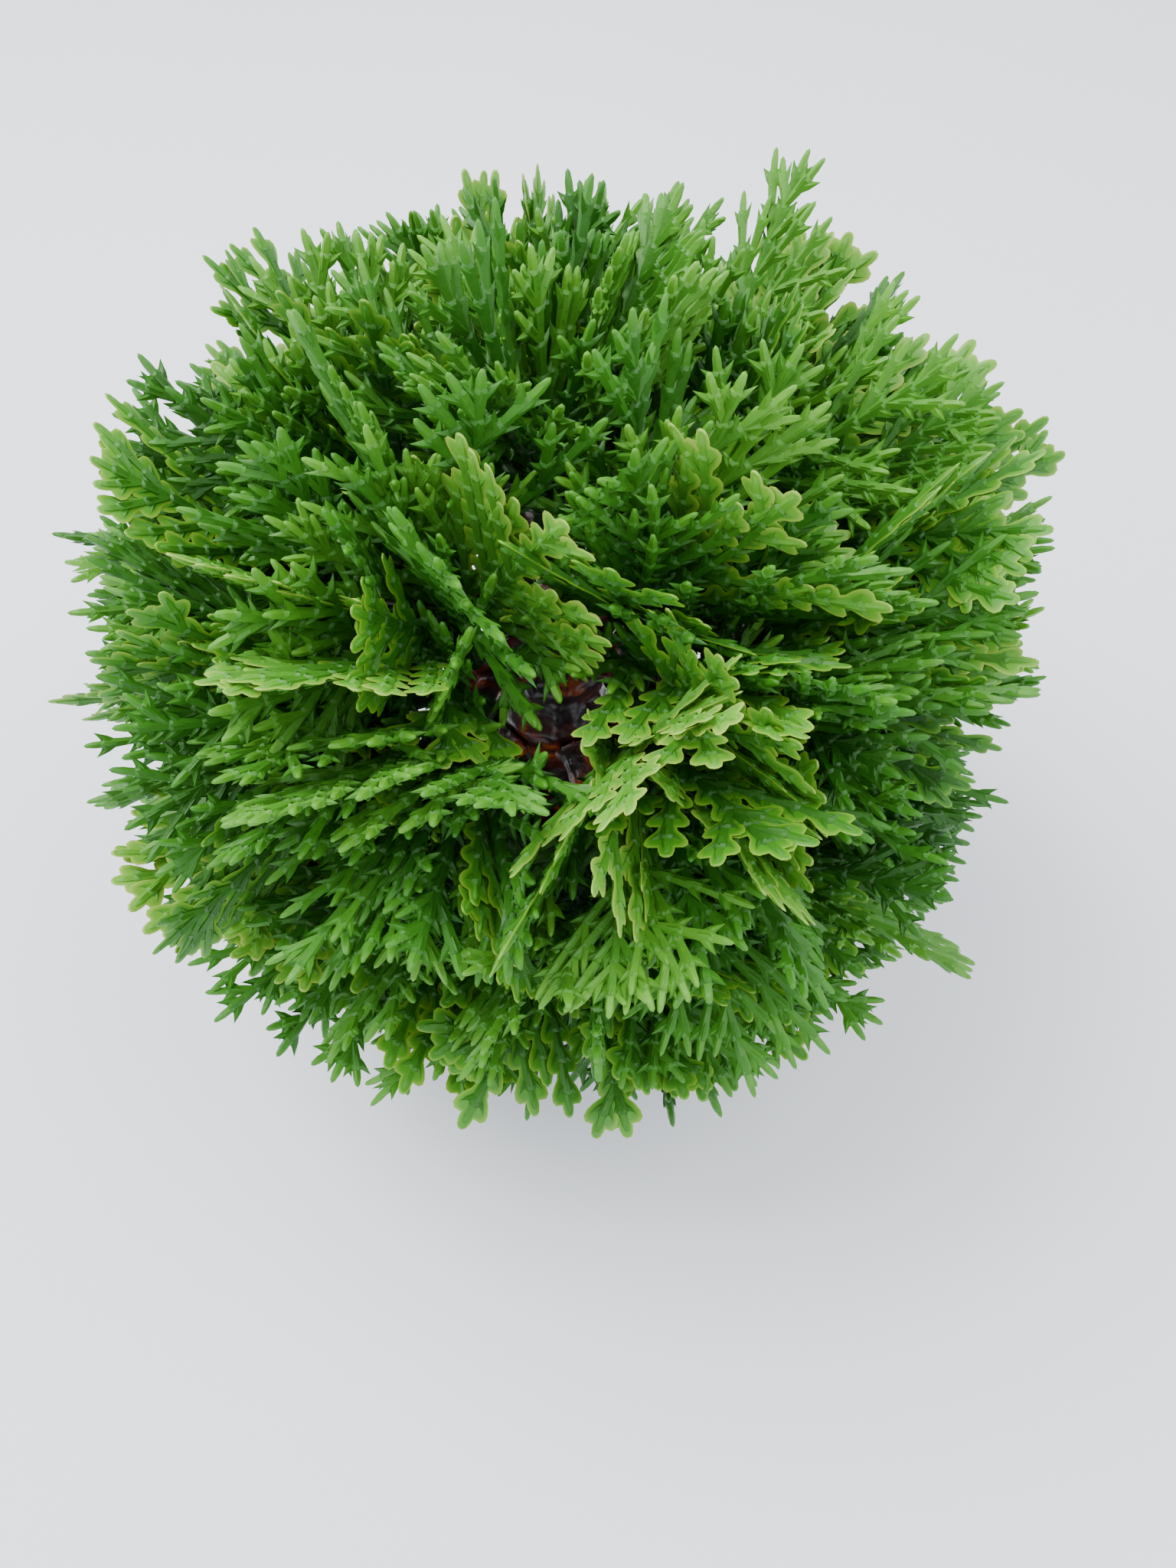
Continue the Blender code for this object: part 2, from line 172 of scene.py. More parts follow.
# Bark: the mesh it is carved in, and the places where it stays plain for the fits.
TRUNK_VOXEL = 0.62 * MM
BRANCH_VOXEL = 0.5 * MM
BARK_FADE = 1.0 * MM
PEG_LENGTH = 6.5 * MM
SOCKET_CLEAR_RADIUS = 4.8 * MM
SOCKET_CLEAR_DEPTH = 20 * MM
PEG_CLEAR_RADIUS = 6 * MM
PEG_SHOULDER = 0.6 * MM
PICK_CLEAR_RADIUS = 4 * MM
PICK_CLEAR_DEPTH = 12 * MM
PICK_CLEAR_START = 2 * MM

# Pot, felt pad and moss bed, which keep the places that the frame gives them.
POT_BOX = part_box("pot")
POT_FOOT_RADIUS = 33 * MM
POT_RIM_RADIUS = 42 * MM
POT_WALL = 2.2 * MM
POT_FLOOR = 3.0 * MM
POT_ROUNDING = 0.7 * MM
POT_SIDES = 128
POT_KEEP_CLEAR = (5 * MM, 3 * MM)
RIM_BAND_HEIGHT = 9 * MM
RIM_BAND_PROUD = 1.8 * MM
FELT_ROUNDING = 0.6 * MM
FELT_NAP = 0.25 * MM
FELT_RINGS = 16
BED_SIDES = 96
BED_ROWS = 14
BED_CROWN = 1.6
BED_GAP = 0.3 * MM
MOSS_TUFTS_PER_M2 = 250000
MOSS_TUFT_HEIGHT = 2.2 * MM
TUFT_LEAVES = 5
TUFT_TILT = 0.4
TUFT_SIZES = (0.6, 1.25)
CORNER_STEPS = 4
SEED = 41

# Stage: a wide floor, two square soft lights, and the camera from the crown's centre.
FLOOR_HALF_SIDE = 1.6
LIGHT_SIDE = 0.8
LIGHTS = (("key", (-0.5, 0.2, 1.1), 17.0), ("fill", (0.7, -0.2, 1.0), 6.0))
CAMERA_OFFSET = Vector((3.6, -176.6, 186.7)) * MM
CAMERA_TILT = math.radians(36.6)
CAMERA_ROLL = math.radians(-4.2)
CAMERA_LENS_MM = 27.05
CAMERA_SENSOR_MM = 36


def linear(hex_colour):
    """An sRGB hex colour as linear RGBA."""
    channels = [int(hex_colour[start:start + 2], 16) / 255 for start in (1, 3, 5)]
    return (*[c / 12.92 if c <= 0.04045 else ((c + 0.055) / 1.055) ** 2.4 for c in channels], 1.0)


def feed(tree, node, inputs):
    """Gives a node's inputs plain values or other nodes' output sockets."""
    for key, value in inputs.items():
        if isinstance(value, bpy.types.NodeSocket):
            tree.links.new(value, node.inputs[key])
        else:
            node.inputs[key].default_value = value


def add(tree, kind, inputs=(), stops=(), **settings):
    """Adds a node with its settings and links. A ramp also takes stops: positions and hex colours."""
    node = tree.nodes.new(kind)
    for name, value in settings.items():
        setattr(node, name, value)
    for index, (position, colour) in enumerate(stops):
        elements = node.color_ramp.elements
        element = elements[index] if index < 2 else elements.new(position)
        element.position = position
        element.color = linear(colour)
    feed(tree, node, dict(inputs))
    return node


def new_material(name):
    """A material with an empty Principled shader, and its node tree and shader."""
    finish = bpy.data.materials.new(name)
    finish.use_nodes = True
    return finish, finish.node_tree, finish.node_tree.nodes["Principled BSDF"]


def grain(tree, size_mm, detail=2.0):
    """A pattern from 0 to 1 on the piece's own coordinates, with lumps about size_mm across."""
    place = add(tree, "ShaderNodeTexCoord").outputs["Object"]
    lumps = add(tree, "ShaderNodeTexNoise", {"Vector": place, "Scale": 1 / (size_mm * MM), "Detail": detail})
    return lumps.outputs["Fac"]


def cover(tree, shader, colour, rough, relief, constants):
    """Gives a shader its colour, a roughness that wanders, a fine relief, and what is the same all over.

    rough is the patches' size in mm, and the least and most roughness. relief is the grain's size in mm, its
    detail, its depth in mm and its strength.
    """
    patch_mm, least, most = rough
    patch = grain(tree, patch_mm)
    wander = add(tree, "ShaderNodeMapRange", {"Value": patch, "To Min": least, "To Max": most})
    grain_mm, detail, depth_mm, strength = relief
    height = grain(tree, grain_mm, detail)
    raised = add(tree, "ShaderNodeBump", {"Height": height, "Distance": depth_mm * MM, "Strength": strength})
    sockets = {"Base Color": colour, "Roughness": wander.outputs[0], "Normal": raised.outputs[0]}
    feed(tree, shader, sockets | constants)


def moulded_leaf():
    """Injection-moulded polyethylene, dyed green: a waxy sheen, paler at the tips, deep green inside the
    crown as painted shade, and paler towards the crown's top and surface as painted light.

    Its relief is the flow marks of the mould, and its patches are where the dye was mixed less well.
    """
    finish, tree, shader = new_material("moulded_leaf_polyethylene")
    # The tone and pallor read here carry painted light towards the crown's top and surface, and painted shade
    # inside it.
    tone = add(tree, "ShaderNodeAttribute", attribute_name="tone").outputs["Fac"]
    youth = add(tree, "ShaderNodeAttribute", attribute_name="youth").outputs["Fac"]
    deep_greens = [(0.0, "#0F3306"), (0.5, "#225A12"), (1.0, "#3F8420")]
    pale_greens = [(0.0, "#235C0E"), (0.5, "#438C1A"), (1.0, "#70B031")]
    darker_green = add(tree, "ShaderNodeValToRGB", {"Fac": tone}, deep_greens).outputs["Color"]
    paler_green = add(tree, "ShaderNodeValToRGB", {"Fac": tone}, pale_greens).outputs["Color"]
    uneven = add(tree, "ShaderNodeMapRange", {"Value": grain(tree, 9.0), "To Min": -0.25, "To Max": 0.25})
    pallor_and_patches = {0: youth, 1: uneven.outputs["Result"]}
    # The share of paler green: the twig's pallor, weaker inside the crown as painted shade, plus the dye's
    # uneven patches.
    share = add(tree, "ShaderNodeMath", pallor_and_patches, operation="ADD", use_clamp=True)
    colour = add(tree, "ShaderNodeMix", {0: share.outputs[0], 6: darker_green, 7: paler_green}, data_type="RGBA").outputs[2]
    waxy = {"IOR": 1.51, "Specular IOR Level": 0.38}
    cover(tree, shader, colour, (3.0, 0.38, 0.56), (0.8, 2.0, 0.12, 0.6), waxy)
    return finish


def moulding_flash():
    """The thin skin of plastic squeezed out between the mould's halves: leaf green, and paler at its edge."""
    finish, tree, shader = new_material("moulding_flash_polyethylene")
    tone = add(tree, "ShaderNodeAttribute", attribute_name="tone").outputs["Fac"]
    edge = add(tree, "ShaderNodeAttribute", attribute_name="edge").outputs["Fac"]
    uneven = add(tree, "ShaderNodeMapRange", {"Value": grain(tree, 8.0), "To Min": -0.3, "To Max": 0.3})
    # The patch mixes the dye's uneven patches with the tone, which carries painted light at the crown's top
    # and painted shade inside it.
    patch = add(tree, "ShaderNodeMath", {0: tone, 1: uneven.outputs["Result"]}, operation="ADD").outputs[0]
    skin_greens = [(0.1, "#2A6A12"), (0.5, "#4C931D"), (0.9, "#76B138")]
    rim_greens = [(0.1, "#5E9A22"), (0.5, "#8DB836"), (0.9, "#B4CC5A")]
    skin = add(tree, "ShaderNodeValToRGB", {"Fac": patch}, skin_greens).outputs["Color"]
    rim = add(tree, "ShaderNodeValToRGB", {"Fac": patch}, rim_greens).outputs["Color"]
    thin = add(tree, "ShaderNodeMath", {0: edge, 1: 1.6}, operation="POWER").outputs[0]
    colour = add(tree, "ShaderNodeMix", {0: thin, 6: skin, 7: rim}, data_type="RGBA").outputs[2]
    waxy = {"IOR": 1.51, "Specular IOR Level": 0.38}
    cover(tree, shader, colour, (2.0, 0.36, 0.52), (1.0, 2.0, 0.08, 0.5), waxy)
    return finish


def moulded_bark():
    """Glossy moulded brown plastic: near black, red-brown, and orange where the dye is thin."""
    finish, tree, shader = new_material("moulded_bark_gloss_plastic")
    browns = [(0.3, "#0E0707"), (0.46, "#2B0F0A"), (0.56, "#5A1D0E"), (0.64, "#B5520F"), (0.72, "#6A240D")]
    colour = add(tree, "ShaderNodeValToRGB", {"Fac": grain(tree, 8.0, 5.0)}, browns).outputs["Color"]
    coat = {"Coat Weight": 0.25, "Coat Roughness": 0.2}
    cover(tree, shader, colour, (2.0, 0.28, 0.5), (1.4, 3.0, 0.3, 0.7), coat)
    return finish


def pot_plastic():
    """Black moulded polypropylene: satin, with a spark-eroded mould's grain, coarsened so that it shows."""
    finish, tree, shader = new_material("satin_black_polypropylene")
    blacks = [(0.2, "#151517"), (0.8, "#202124")]
    colour = add(tree, "ShaderNodeValToRGB", {"Fac": grain(tree, 30.0)}, blacks).outputs["Color"]
    cover(tree, shader, colour, (12.0, 0.36, 0.52), (0.7, 2.0, 0.06, 0.6), {"IOR": 1.49})
    return finish


def cast_plaster():
    """Cast plaster: chalky and off-white, with small air holes."""
    finish, tree, shader = new_material("cast_plaster")
    whites = [(0.3, "#B9B3A6"), (0.7, "#CFCABF")]
    colour = add(tree, "ShaderNodeValToRGB", {"Fac": grain(tree, 12.0)}, whites).outputs["Color"]
    cover(tree, shader, colour, (4.0, 0.8, 0.95), (1.2, 2.0, 0.3, 1.0), {"IOR": 1.52})
    return finish


def felt_fibre():
    """Pressed black felt: matt, with a fibrous nap drawn coarser than real fibres, so that it shows."""
    finish, tree, shader = new_material("pressed_felt")
    blacks = [(0.3, "#1B1B1C"), (0.7, "#38383A")]
    colour = add(tree, "ShaderNodeValToRGB", {"Fac": grain(tree, 1.5)}, blacks).outputs["Color"]
    cover(tree, shader, colour, (2.0, 0.88, 0.98), (0.5, 2.0, 0.2, 1.0), {"Sheen Weight": 0.15})
    return finish


def moss_fibre():
    """Dyed fibre moss: matt olive green with browner patches."""
    finish, tree, shader = new_material("dyed_moss_fibre")
    olives = [(0.25, "#2E3A16"), (0.5, "#55672A"), (0.75, "#6F6A38")]
    colour = add(tree, "ShaderNodeValToRGB", {"Fac": grain(tree, 6.0, 4.0)}, olives).outputs["Color"]
    cover(tree, shader, colour, (2.0, 0.8, 0.95), (0.8, 4.0, 0.5, 1.0), {"IOR": 1.5})
    return finish


def drawn_steel():
    """Drawn steel rod: bright grey metal, slightly uneven from the drawing die."""
    finish, tree, shader = new_material("drawn_steel")
    greys = [(0.2, "#77797B"), (0.8, "#A3A5A6")]
    colour = add(tree, "ShaderNodeValToRGB", {"Fac": grain(tree, 4.0)}, greys).outputs["Color"]
    cover(tree, shader, colour, (1.0, 0.3, 0.5), (0.6, 2.0, 0.02, 0.4), {"Metallic": 1.0})
    return finish


def closed_mesh(name, shells):
    """One mesh from closed shells, each a list of rings of points whose ends are capped or are one point."""
    shape = bmesh.new()
    for rings in shells:
        rows = [[shape.verts.new(point) for point in ring] for ring in rings]
        for row, above in zip(rows, rows[1:]):
            count = max(len(row), len(above))
            for side in range(count):
                corners = [row[side % len(row)], row[(side + 1) % len(row)]]
                corners += [above[(side + 1) % len(above)], above[side % len(above)]]
                shape.faces.new(list(dict.fromkeys(corners)))
        for end in (rows[0], rows[-1]):
            if len(end) > 2:
                shape.faces.new(end)
    bmesh.ops.recalc_face_normals(shape, faces=shape.faces)
    mesh = bpy.data.meshes.new(name)
    shape.to_mesh(mesh)
    shape.free()
    mesh.shade_smooth()
    mesh.set_sharp_from_angle(angle=SHARP_ANGLE)
    return mesh


def oval(sides, across, thick, height):
    """A ring of points on an ellipse at a height."""
    angles = [math.tau * side / sides for side in range(sides)]
    return [(across * math.cos(angle), thick * math.sin(angle), height) for angle in angles]


def scale_leaf(side):
    """One pointed scale at the end of a joint, leaning forwards to its side."""
    rings = []
    for out, forward, half_length, half_thick in ((0.5, 0.72, 0.22, 0.62), (1.65, 0.9, 0.12, 0.42)):
        low = (side * (out + 0.3), forward - half_length)
        high = (side * (out - 0.3), forward + half_length)
        rings.append([(low[0], 0.0, low[1]), (side * out, half_thick, forward),
                      (high[0], 0.0, high[1]), (side * out, -half_thick, forward)])
    return rings + [[(side * 2.95, 0.0, 1.2)]]


def face_scale(side):
    """The small scale on the flat of a joint, lying close along the stem."""
    return [
        [(-0.55, side * 0.6, 0.5), (0.55, side * 0.6, 0.5), (0.0, side * 0.95, 0.5)],
        [(-0.6, side * 0.7, 0.78), (0.6, side * 0.7, 0.78), (0.0, side * 1.3, 0.82)],
        [(0.0, side * 1.25, 1.04)],
    ]


def joint_shape():
    """One joint of a twig, in stem radii across and joint lengths along +Z."""
    stem = [(0.84, 0.74, -0.06), (1.26, 1.1, 0.9), (0.9, 0.8, 1.02)]
    stem = [oval(STEM_SIDES, across, thick, height) for across, thick, height in stem]
    return closed_mesh("joint", [stem, scale_leaf(1), scale_leaf(-1), face_scale(1), face_scale(-1)])


def tip_shape():
    """The blunt slender end of a twig."""
    cone = [(0.86, 0.76, -0.06), (0.82, 0.74, 0.3), (0.52, 0.46, 0.58)]
    cone = [oval(STEM_SIDES, across, thick, height) for across, thick, height in cone]
    return closed_mesh("tip", [cone + [[(0.0, 0.0, 0.68)]]])


def hub_shape():
    """The socketed stem end of a pick: a tapered sleeve with a bead at its mouth, one unit long."""
    outer = [(1.0, 0.0), (1.08, 0.03), (1.08, 0.1), (0.97, 0.15), (0.9, 0.6), (0.8, 0.96), (0.5, 1.04)]
    bore = [(0.56, 0.56), (0.56, 0.0)]
    rings = [oval(HUB_SIDES, radius, radius, height) for radius, height in bore + outer]
    return closed_mesh("hub", [rings])


def web_shape(name, half):
    """A thin web of flash in the plane of the spray, from half its outline: its edge is thinner and paler."""
    outline = half + [(-across, along) for across, along in reversed(half)]
    middle = sum(along for _, along in outline) / len(outline)
    inner = [(across * 0.62, middle + (along - middle) * 0.8) for across, along in outline]
    layers = ((-WEB_HALF_THICKNESS, inner), (0.0, outline), (WEB_HALF_THICKNESS, inner))
    rings = [[(across, height, along) for across, along in ring] for height, ring in layers]
    mesh = closed_mesh(name, [rings])
    edges = [0.0] * len(inner) + [1.0] * len(outline) + [0.0] * len(inner)
    mesh.attributes.new("edge", "FLOAT", "POINT").data.foreach_set("value", edges)
    return mesh


def joint_web():
    """Flash round one joint, with a lobe round each scale."""
    half = [(1.2, -0.04), (1.3, 0.3), (1.6, 0.52), (2.6, 0.76), (3.25, 1.0), (3.35, 1.2), (2.7, 1.33)]
    return web_shape("joint_web", half)


def tip_web():
    """Flash round the end of a twig."""
    return web_shape("tip_web", [(1.2, -0.04), (1.3, 0.25), (1.25, 0.5), (0.95, 0.72), (0.4, 0.82)])


def spray_tree(shapes, leaf, flash):
    """Geometry Nodes that stand a joint, a tip or a hub, and any web of flash, on a skeleton's points."""
    tree = bpy.data.node_groups.new("moulded_spray", "GeometryNodeTree")
    tree.interface.new_socket("Skeleton", in_out="INPUT", socket_type="NodeSocketGeometry")
    for name in ("Joint Length", "Stem Radius"):
        tree.interface.new_socket(name, in_out="INPUT", socket_type="NodeSocketFloat")
    tree.interface.new_socket("Spray", in_out="OUTPUT", socket_type="NodeSocketGeometry")
    given = add(tree, "NodeGroupInput").outputs

    point = {}
    for name in ("along", "across", "size", "kind", "flash"):
        named = add(tree, "GeometryNodeInputNamedAttribute", {"Name": name}, data_type=POINT_VALUES[name])
        point[name] = named.outputs["Attribute"]
    axes = {"Primary Axis": point["along"], "Secondary Axis": point["across"]}
    stand = add(tree, "FunctionNodeAxesToRotation", axes, primary_axis="Z", secondary_axis="X")
    sides = {0: given["Stem Radius"], 1: given["Stem Radius"], 2: given["Joint Length"]}
    unit = add(tree, "ShaderNodeCombineXYZ", sides)
    stretch = {0: unit.outputs[0], 1: point["size"]}
    size = add(tree, "ShaderNodeVectorMath", stretch, operation="MULTIPLY").outputs[0]

    def placed(attribute, value, shape):
        both = {2: point[attribute], 3: value}
        found = add(tree, "FunctionNodeCompare", both, data_type="INT", operation="EQUAL")
        mesh = add(tree, "GeometryNodeObjectInfo", {"Object": shape}).outputs["Geometry"]
        inputs = {"Points": given["Skeleton"], "Selection": found.outputs[0], "Instance": mesh}
        inputs |= {"Rotation": stand.outputs[0], "Scale": size}
        return add(tree, "GeometryNodeInstanceOnPoints", inputs).outputs[0]

    def finished(instances, finish):
        joined = add(tree, "GeometryNodeJoinGeometry")
        for instance in instances:
            feed(tree, joined, {0: instance})
        real = add(tree, "GeometryNodeRealizeInstances", {"Geometry": joined.outputs[0]})
        dressed = {"Geometry": real.outputs[0], "Material": finish}
        return add(tree, "GeometryNodeSetMaterial", dressed).outputs[0]

    kinds = ((JOINT, "joint"), (TIP, "tip"), (HUB, "hub"))
    webs = ((JOINT_WEB, "joint_web"), (TIP_WEB, "tip_web"))
    green = finished([placed("kind", kind, shapes[name]) for kind, name in kinds], leaf)
    pale = finished([placed("flash", web, shapes[name]) for web, name in webs], flash)
    joined = add(tree, "GeometryNodeJoinGeometry", {0: pale})
    feed(tree, joined, {0: green})
    add(tree, "NodeGroupOutput", {"Spray": joined.outputs[0]})
    return tree


def turned_about(vector, axis, angle):
    """The vector turned about an axis through the origin."""
    return Matrix.Rotation(angle, 3, axis) @ vector


class Skeleton:
    """The points on which a pick's joints, tips, webs and hub stand."""

    def __init__(self):
        self.rows = []

    def stand(self, place, along, across, size, kind, flash, tone, youth):
        self.rows.append((tuple(place), tuple(along), tuple(across), size, kind, flash, tone, youth))

    def mesh(self):
        mesh = bpy.data.meshes.new("skeleton")
        mesh.from_pydata([row[0] for row in self.rows], [], [])
        for number, (name, kind) in enumerate(POINT_VALUES.items(), start=1):
            values = np.array([row[number] for row in self.rows]).ravel()
            field = "vector" if kind == "FLOAT_VECTOR" else "value"
            mesh.attributes.new(name, kind, "POINT").data.foreach_set(field, values)
        return mesh


def grow_twig(skeleton, place, along, facing, joints, curve, width, look, dice, depth=0):
    """Adds a twig joint by joint, and its side twigs in the plane of the spray."""
    flashed, tone = look
    bend, sweep = curve
    side = dice.choice((-1, 1))
    step = JOINT_LENGTH * dice.uniform(*JOINT_STRETCH)
    bare = 1 if depth else 2
    for index in range(joints):
        across = along.cross(facing).normalized()
        deep = (place - CROWN_CENTRE).length / CROWN_RADIUS
        # Painted shade: joints darken towards the crown's middle and are paler towards its surface.
        shade = min(1.0, max(0.0, tone * (PAINTED_SHADE_INSIDE + PAINTED_SHADE_BY_DEPTH * deep)))
        # Side twigs and the ends of twigs are paler; that pallor fades inside the crown, as painted shade.
        youth = min(1.0, YOUTH_BY_FORK * depth + YOUTH_BY_LENGTH * (index + 1) / joints * deep)
        size = (width, width, step / JOINT_LENGTH)
        webbed = flashed and deep > FLASH_STARTS and (depth > 0 or index >= bare)
        skeleton.stand(place, along, across, size, JOINT, JOINT_WEB if webbed else NO_WEB, shade, youth)
        place = place + along * step
        left = joints - index - 1
        if index + 1 >= bare and left >= 1 and depth < 2 and dice.random() < TWIG_CHANCES[depth]:
            both = depth == 0 and dice.random() < PAIRED_CHANCE
            for way in ((side, -side) if both else (side,)):
                length = max(1, min(MOST_SIDE_JOINTS, round(left * dice.uniform(*SIDE_TWIG_SHARE))))
                angle = TWIG_ANGLE * dice.uniform(*TWIG_ANGLE_SPREAD)
                out = turned_about(along, facing, -way * angle)
                lean = turned_about(facing, out, dice.uniform(-SIDE_TWIG_LEAN, SIDE_TWIG_LEAN))
                curl = (bend, way * dice.uniform(*SIDE_TWIG_CURL))
                thinner = width * SIDE_TWIG_WIDTH
                grow_twig(skeleton, place, out, lean, length, curl, thinner, look, dice, depth + 1)
            side = -side
        along = turned_about(along, facing, sweep)
        turn = turned_about(along, along.cross(facing), -bend)
        facing = turned_about(facing, along.cross(facing), -bend)
        along = turn.normalized()
        width *= STEM_TAPER
    across = along.cross(facing).normalized()
    size = (width, width, dice.uniform(*TIP_STRETCH))
    web = TIP_WEB if flashed else NO_WEB
    skeleton.stand(place, along, across, size, TIP, web, min(1.0, tone * TIP_TONE_GAIN), TIP_YOUTH)


def reach_of(place, way):
    """How far a spray runs from place along way before it meets the crown's surface."""
    squash = Vector((1 / CROWN_RADIUS, 1 / CROWN_RADIUS, 1 / CROWN_HALF_HEIGHT))
    start = (place - CROWN_CENTRE) * squash
    run = way * squash
    a, b, c = run.dot(run), start.dot(run), start.dot(start) - 1
    return (-b + math.sqrt(max(0.0, b * b - a * c))) / a


def blocked(place, way, length):
    """Whether a straight spray would cross the gap close to the trunk, or meet the pot."""
    gap = Vector((0.0, -math.cos(GAP_SLOPE), math.sin(GAP_SLOPE)))
    steps = 10
    beside, above = POT_KEEP_CLEAR
    for step in range(1, steps + 1):
        point = place + way * (length * step / steps)
        if point.z < POT_BOX[1][2] + above and math.hypot(point.x, point.y) < POT_RIM_RADIUS + beside:
            return True
        from_foot = point - GAP_FOOT
        along = from_foot.dot(gap)
        if 0 < along < GAP_DEPTH and (from_foot - gap * along).length < GAP_RADIUS:
            return True
    return False


def grow_spray(skeleton, mouth, way, outward, tilt, share, dice):
    """One spray that leaves a hub's end at a tilt, sized by its share of the way to the crown's surface."""
    ahead = (way * math.cos(tilt) + outward * math.sin(tilt)).normalized()
    place = mouth + way * (HUB_LENGTH * dice.uniform(*SPRAY_ROOT)) + outward * SPRAY_OFF_AXIS
    length = reach_of(place, ahead) * share
    if blocked(place, ahead, length):
        return
    lift = UP + outward * FLAT_LEAN
    facing = (lift - ahead * lift.dot(ahead)).normalized()
    roll = dice.gauss(0, ROLL_SPREAD) + (math.pi / 2 if dice.random() < EDGE_ON_SHARE else 0)
    facing = turned_about(facing, ahead, roll)
    joints = max(FEWEST_JOINTS, round(length / JOINT_LENGTH) - 1)
    height = (place + ahead * length - CROWN_CENTRE).z / CROWN_HALF_HEIGHT
    droop = MOST_BEND_BELOW if height < 0 else MOST_BEND_ABOVE
    curve = (dice.uniform(LEAST_BEND, droop), dice.gauss(0, SWEEP_SPREAD))
    # Painted light: a spray whose end lies higher in the crown is paler; the rest of its tone differs at
    # random.
    tone = TONE_MIDDLE + PAINTED_LIGHT_BY_HEIGHT * height + dice.gauss(0, TONE_SPREAD)
    look = (dice.random() < FLASHED_SHARE, min(1.0, max(DARKEST_TONE, tone)))
    grow_twig(skeleton, place, ahead, facing, joints, curve, dice.uniform(*STEM_THICKNESS), look, dice)


def pick_skeleton(mouth, way, number):
    """One pick: its hub, a fan of long sprays out to the crown's surface, and short ones round them."""
    dice = random.Random(SEED * 1000 + number)
    skeleton = Skeleton()
    across = way.orthogonal().normalized()
    hub_size = (HUB_RADIUS / STEM_RADIUS, HUB_RADIUS / STEM_RADIUS, HUB_LENGTH / JOINT_LENGTH)
    skeleton.stand(mouth, way, across, hub_size, HUB, NO_WEB, HUB_TONE, 0.0)
    start_turn = dice.uniform(0, math.tau)
    for index in range(LONG_SPRAYS):
        outward = turned_about(across, way, start_turn + index * GOLDEN_TURN)
        tilt = LONG_FAN * math.sqrt(index / (LONG_SPRAYS - 1)) * dice.uniform(*LONG_FAN_SPREAD)
        grow_spray(skeleton, mouth, way, outward, tilt, dice.triangular(*LONG_REACH), dice)
    for index in range(SHORT_SPRAYS):
        outward = turned_about(across, way, start_turn + (index + 0.5) * math.tau / SHORT_SPRAYS)
        grow_spray(skeleton, mouth, way, outward, dice.uniform(*SHORT_FAN), dice.uniform(*SHORT_REACH), dice)
    return skeleton


def pick_axis(node):
    """The middle of a CAD pick's mouth, and the way it points, read from the node's own mesh."""
    points = np.array([vertex.co for vertex in frame["nodes"][node].data.vertices])
    points = np.unique(np.round(points, 5), axis=0)
    away = np.linalg.norm(points - np.array(CROWN_CENTRE), axis=1)
    ring = points[away < away.min() + 4 * MM]
    middle = ring.mean(axis=0)
    normal = np.linalg.svd(ring - middle)[2][2]
    if normal @ (points.mean(axis=0) - middle) < 0:
        normal = -normal
    return Vector(middle), Vector(normal)


def helper(mesh):
    """An object in the scene that only holds a mesh to build with."""
    shown = bpy.data.objects.new(mesh.name, mesh)
    bpy.context.scene.collection.objects.link(shown)
    return shown


def evaluated_mesh(source, name):
    """A plain mesh of what the source's modifiers make."""
    graph = bpy.context.evaluated_depsgraph_get()
    mesh = bpy.data.meshes.new_from_object(source.evaluated_get(graph))
    mesh.name = name
    return mesh


def body_of(node):
    """The name of the body that a CAD node rides on."""
    return next(name for name, empty in frame["bodies"].items() if frame["nodes"][node].parent == empty)


def place_piece(name, mesh, node):
    """A finished piece that stands for a CAD node and rides on its body."""
    piece = bpy.data.objects.new(name, mesh)
    bpy.context.scene.collection.objects.link(piece)
    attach(piece, body_of(node))
    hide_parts(node)
    return piece


def grow_from(source, tree, sizes):
    """Puts a Geometry Nodes tree on a helper, with its named inputs set by their sockets' identifiers."""
    modifier = source.modifiers.new(tree.name, "NODES")
    modifier.node_group = tree
    for socket in tree.interface.items_tree:
        if socket.name in sizes:
            modifier[socket.identifier] = sizes[socket.name]


def build_foliage(leaf, flash):
    """The moulded sprays of each of the thirty-one picks."""
    meshes = (joint_shape(), tip_shape(), hub_shape(), joint_web(), tip_web())
    shapes = {mesh.name: helper(mesh) for mesh in meshes}
    tree = spray_tree(shapes, leaf, flash)
    picks = sorted(node for node in frame["nodes"] if "_foliage_" in node)
    for number, node in enumerate(picks):
        mouth, way = pick_axis(node)
        source = helper(pick_skeleton(mouth, way, number).mesh())
        grow_from(source, tree, {"Joint Length": JOINT_LENGTH, "Stem Radius": STEM_RADIUS})
        mesh = evaluated_mesh(source, f"spray_{node}")
        bpy.data.objects.remove(source)
        place_piece(f"sprays_{node}", mesh, node)
    for shape in shapes.values():
        bpy.data.objects.remove(shape)


def peg_end(node, axis):
    """The middle of the inner end of a branch's peg."""
    points = np.array([vertex.co for vertex in frame["nodes"][node].data.vertices])
    depth = points @ np.array(axis)
    end = np.unique(np.round(points[depth < depth.min() + 0.1 * MM], 5), axis=0)
    return Vector(end.mean(axis=0))


def bark_relief(place):
    """How far the moulded bark stands out at a place: lumps 5.5 mm across, 2.2 mm knots, and 1.5 mm pits."""
    lump = noise.noise(place / (5.5 * MM)) * 0.6
    knot = noise.noise(place / (2.2 * MM) + UP * 9) * 0.36
    pit = max(0.0, noise.noise(place / (1.5 * MM) - UP * 5) - 0.25) * 0.36
    return (lump + knot - pit) * MM


